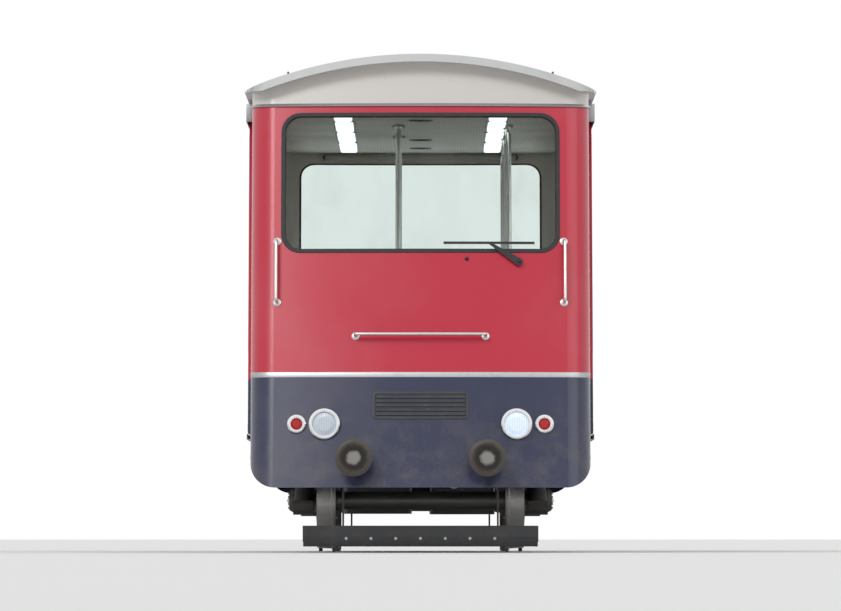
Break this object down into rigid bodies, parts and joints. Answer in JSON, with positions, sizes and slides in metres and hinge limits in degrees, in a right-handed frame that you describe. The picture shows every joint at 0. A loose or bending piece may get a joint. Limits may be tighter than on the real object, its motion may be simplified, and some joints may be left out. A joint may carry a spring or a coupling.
{
  "type": "funicular railway car",
  "caption": "Stepped funicular car with plumb ends on a 15 degree slope, two railway wheelsets, sliding doors on both sides and a rope socket.",
  "frame": {"origin": "middle of the car, on the plane that the wheel flanges touch", "axes": "+Y uphill along the rails, +X to the right of someone looking uphill, +Z square to the rails"},
  "size_m": [2.32, 8.393, 3.3195],
  "materials": {
    "red_paint": "semi-gloss coach paint",
    "navy_paint": "semi-gloss coach paint",
    "roof_paint": "satin paint",
    "frame_paint": "satin chassis paint",
    "glass": "clear, lightly tinted",
    "door_aluminium": "anodised",
    "wheel_steel": "turned, bright tread",
    "forged_steel": "cast, painted dark",
    "rubber": "matt",
    "floor_rubber": "studded, matt",
    "wood": "varnished slats",
    "pole_steel": "brushed",
    "ceiling_panel": "matt laminate",
    "desk_plastic": "grained",
    "lamp_metal": "polished",
    "lens": "moulded lens"
  },
  "bodies": {
    "body_shell": {"aisle_steps": "floor_rubber", "apron_downhill": "navy_paint", "apron_uphill": "navy_paint", "axle_boxes": "forged_steel", "axle_springs": "rubber", "battery_box": "frame_paint", "buffers": "forged_steel", "ceiling": "ceiling_panel", "cross_bearers": "frame_paint", "door_tracks_left": "door_aluminium", "door_tracks_right": "door_aluminium", "driver_desks": "desk_plastic", "end_wall_downhill": "red_paint", "end_wall_uphill": "red_paint", "floor": "floor_rubber", "floor_webs": "frame_paint", "grab_poles": "pole_steel", "guard_ploughs": "frame_paint", "hydraulic_unit": "frame_paint", "lamp_housings": "lamp_metal", "lamp_lenses": "lens", "lower_panel_left": "navy_paint", "lower_panel_right": "navy_paint", "roof": "roof_paint", "roof_vents": "roof_paint", "rope_bracket": "frame_paint", "rope_socket": "forged_steel", "seat_frames": "frame_paint", "seats": "wood", "side_wall_left": "red_paint", "side_wall_right": "red_paint", "side_windows": "glass", "track_brakes": "forged_steel", "underframe": "frame_paint", "windscreens": "glass", "wipers": "frame_paint"},
    "wheelset_downhill": {"axle_downhill": "wheel_steel", "wheels_downhill": "wheel_steel"},
    "wheelset_uphill": {"axle_uphill": "wheel_steel", "wheels_uphill": "wheel_steel"},
    "left_lower_door_downhill": {"left_lower_door_downhill": "red_paint", "left_lower_door_downhill_glass": "glass"},
    "left_lower_door_uphill": {"left_lower_door_uphill": "red_paint", "left_lower_door_uphill_glass": "glass"},
    "left_upper_door_downhill": {"left_upper_door_downhill": "red_paint", "left_upper_door_downhill_glass": "glass"},
    "left_upper_door_uphill": {"left_upper_door_uphill": "red_paint", "left_upper_door_uphill_glass": "glass"},
    "right_lower_door_downhill": {"right_lower_door_downhill": "red_paint", "right_lower_door_downhill_glass": "glass"},
    "right_lower_door_uphill": {"right_lower_door_uphill": "red_paint", "right_lower_door_uphill_glass": "glass"},
    "right_upper_door_downhill": {"right_upper_door_downhill": "red_paint", "right_upper_door_downhill_glass": "glass"},
    "right_upper_door_uphill": {"right_upper_door_uphill": "red_paint", "right_upper_door_uphill_glass": "glass"}
  },
  "joints": [
    {"name": "wheelset_downhill_spin", "type": "hinge", "parent": "body_shell", "child": "wheelset_downhill", "pos_m": [0, -1.9, 0.345], "axis": [1, 0, 0], "continuous": true},
    {"name": "wheelset_uphill_spin", "type": "hinge", "parent": "body_shell", "child": "wheelset_uphill", "pos_m": [0, 1.9, 0.345], "axis": [1, 0, 0], "continuous": true},
    {"name": "left_lower_door_downhill_slide", "type": "slide", "parent": "body_shell", "child": "left_lower_door_downhill", "axis": [0, -1, 0], "range_m": [0, 0.5]},
    {"name": "left_lower_door_uphill_slide", "type": "slide", "parent": "body_shell", "child": "left_lower_door_uphill", "axis": [0, 1, 0], "range_m": [0, 0.5]},
    {"name": "left_upper_door_downhill_slide", "type": "slide", "parent": "body_shell", "child": "left_upper_door_downhill", "axis": [0, -1, 0], "range_m": [0, 0.5]},
    {"name": "left_upper_door_uphill_slide", "type": "slide", "parent": "body_shell", "child": "left_upper_door_uphill", "axis": [0, 1, 0], "range_m": [0, 0.5]},
    {"name": "right_lower_door_downhill_slide", "type": "slide", "parent": "body_shell", "child": "right_lower_door_downhill", "axis": [0, -1, 0], "range_m": [0, 0.5]},
    {"name": "right_lower_door_uphill_slide", "type": "slide", "parent": "body_shell", "child": "right_lower_door_uphill", "axis": [0, 1, 0], "range_m": [0, 0.5]},
    {"name": "right_upper_door_downhill_slide", "type": "slide", "parent": "body_shell", "child": "right_upper_door_downhill", "axis": [0, -1, 0], "range_m": [0, 0.5]},
    {"name": "right_upper_door_uphill_slide", "type": "slide", "parent": "body_shell", "child": "right_upper_door_uphill", "axis": [0, 1, 0], "range_m": [0, 0.5]}
  ],
  "couplings": [
    {"joint": "left_lower_door_uphill_slide", "follows": "left_lower_door_downhill_slide", "ratio": 1},
    {"joint": "left_upper_door_downhill_slide", "follows": "left_lower_door_downhill_slide", "ratio": 1},
    {"joint": "left_upper_door_uphill_slide", "follows": "left_lower_door_downhill_slide", "ratio": 1},
    {"joint": "right_lower_door_uphill_slide", "follows": "right_lower_door_downhill_slide", "ratio": 1},
    {"joint": "right_upper_door_downhill_slide", "follows": "right_lower_door_downhill_slide", "ratio": 1},
    {"joint": "right_upper_door_uphill_slide", "follows": "right_lower_door_downhill_slide", "ratio": 1}
  ]
}
